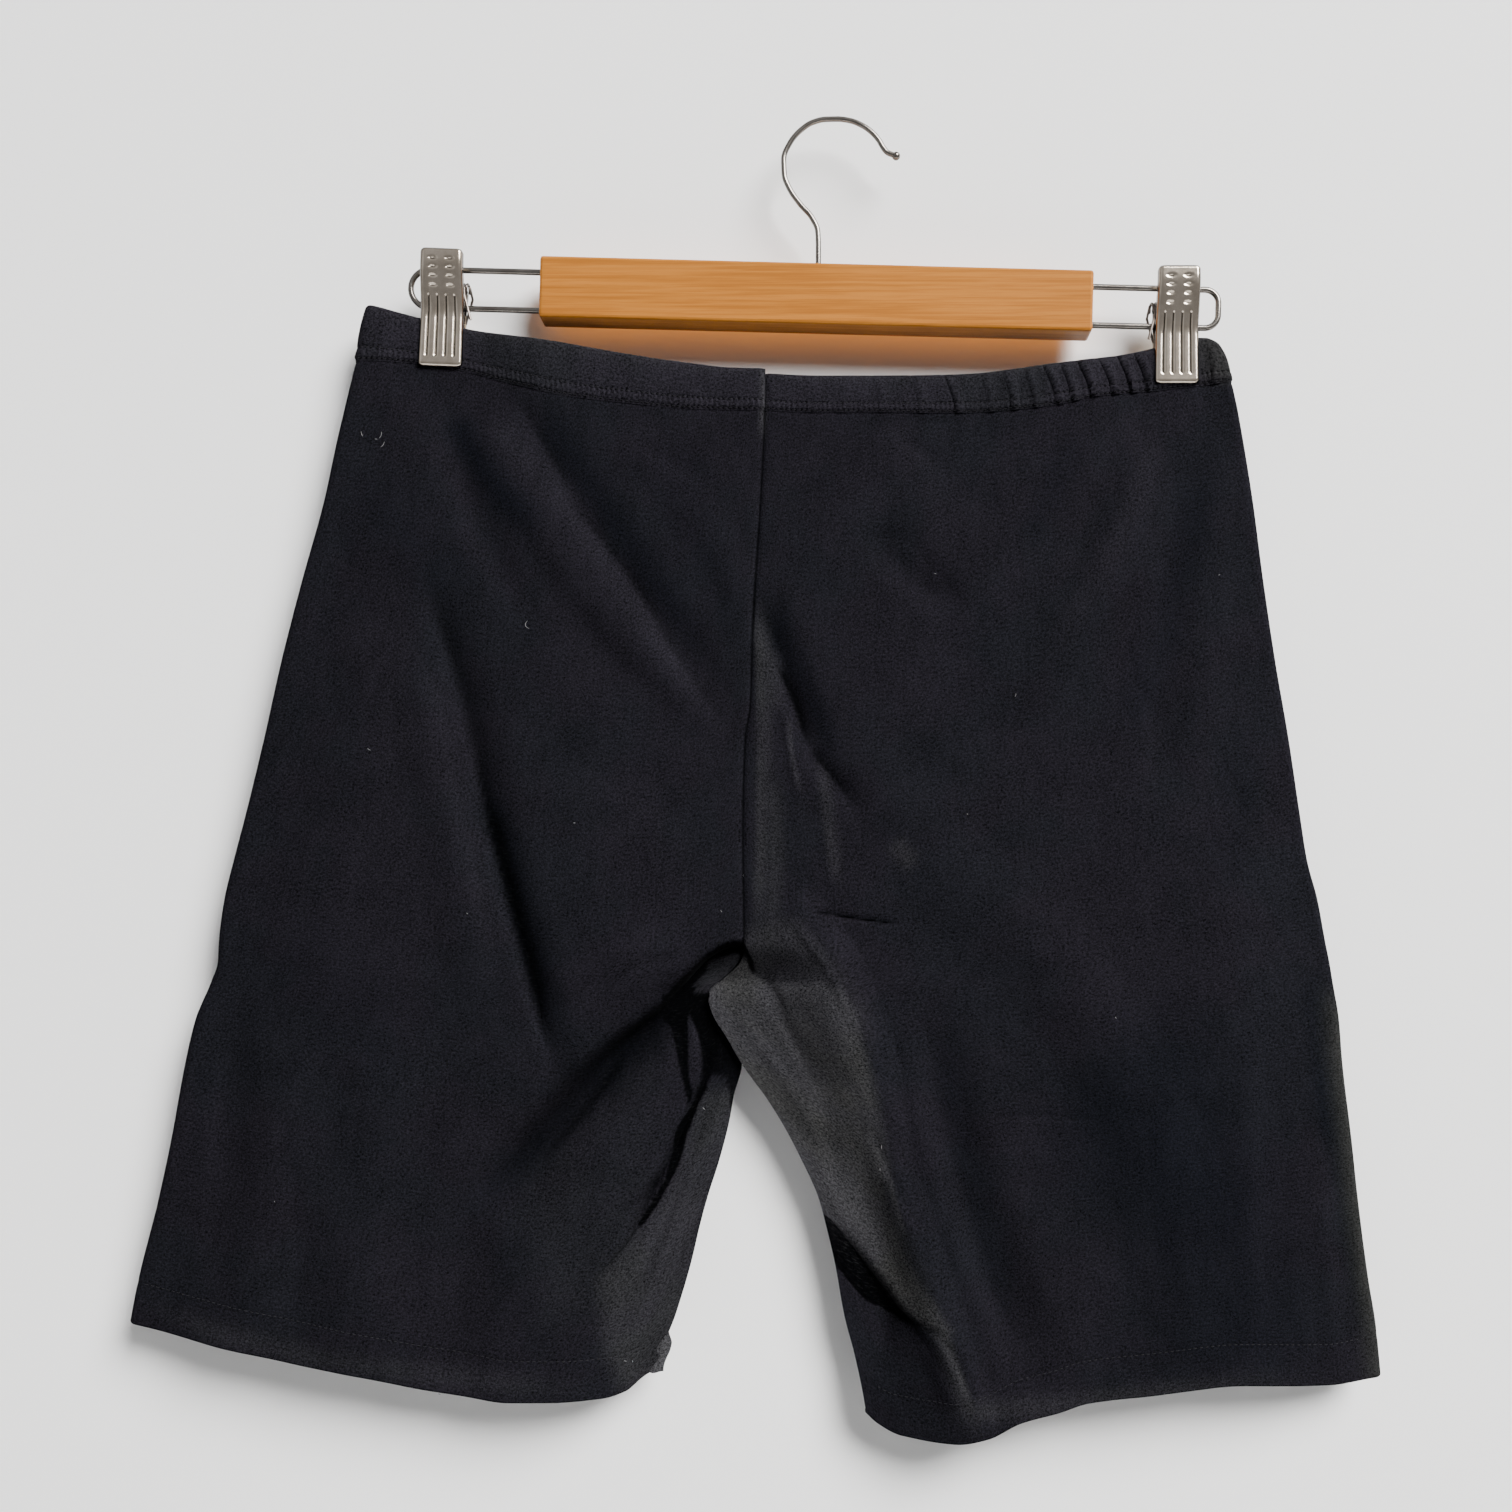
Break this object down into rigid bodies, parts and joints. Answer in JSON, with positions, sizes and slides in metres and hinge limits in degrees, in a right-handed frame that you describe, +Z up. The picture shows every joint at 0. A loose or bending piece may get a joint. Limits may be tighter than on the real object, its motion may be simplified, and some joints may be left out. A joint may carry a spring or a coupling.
{
  "type": "cycling shorts on a clip hanger",
  "caption": "Black cotton-jersey cycling shorts with elastic waistband and turned-up hems, clipped to a wooden trouser hanger with a wire hook.",
  "frame": {"origin": "inside top of the hook, where the hanger hangs", "axes": "+Z up, +X to the right seen from the front, +Y from the front to the wall behind"},
  "size_m": [0.5873, 0.0342, 0.6189],
  "materials": {
    "jersey": "washed black cotton jersey, soft fuzzy nap",
    "waistband": "jersey casing gathered over elastic",
    "maple": "satin-lacquered orange-tan wood, fine straight grain",
    "wire": "bright nickel-plated wire",
    "clip_plate": "pressed steel, warm nickel plate",
    "spring": "dull spring steel"
  },
  "bodies": {
    "root": {"leg_left": "jersey", "leg_right": "jersey", "waistband_left": "waistband", "waistband_right": "waistband", "hanger_bar": "maple", "hanger_hook": "wire", "wire_loop_left": "wire", "wire_loop_right": "wire", "clip_left_front": "clip_plate", "clip_left_back": "clip_plate", "clip_left_spring": "spring", "clip_right_front": "clip_plate", "clip_right_back": "clip_plate", "clip_right_spring": "spring"}
  },
  "joints": []
}
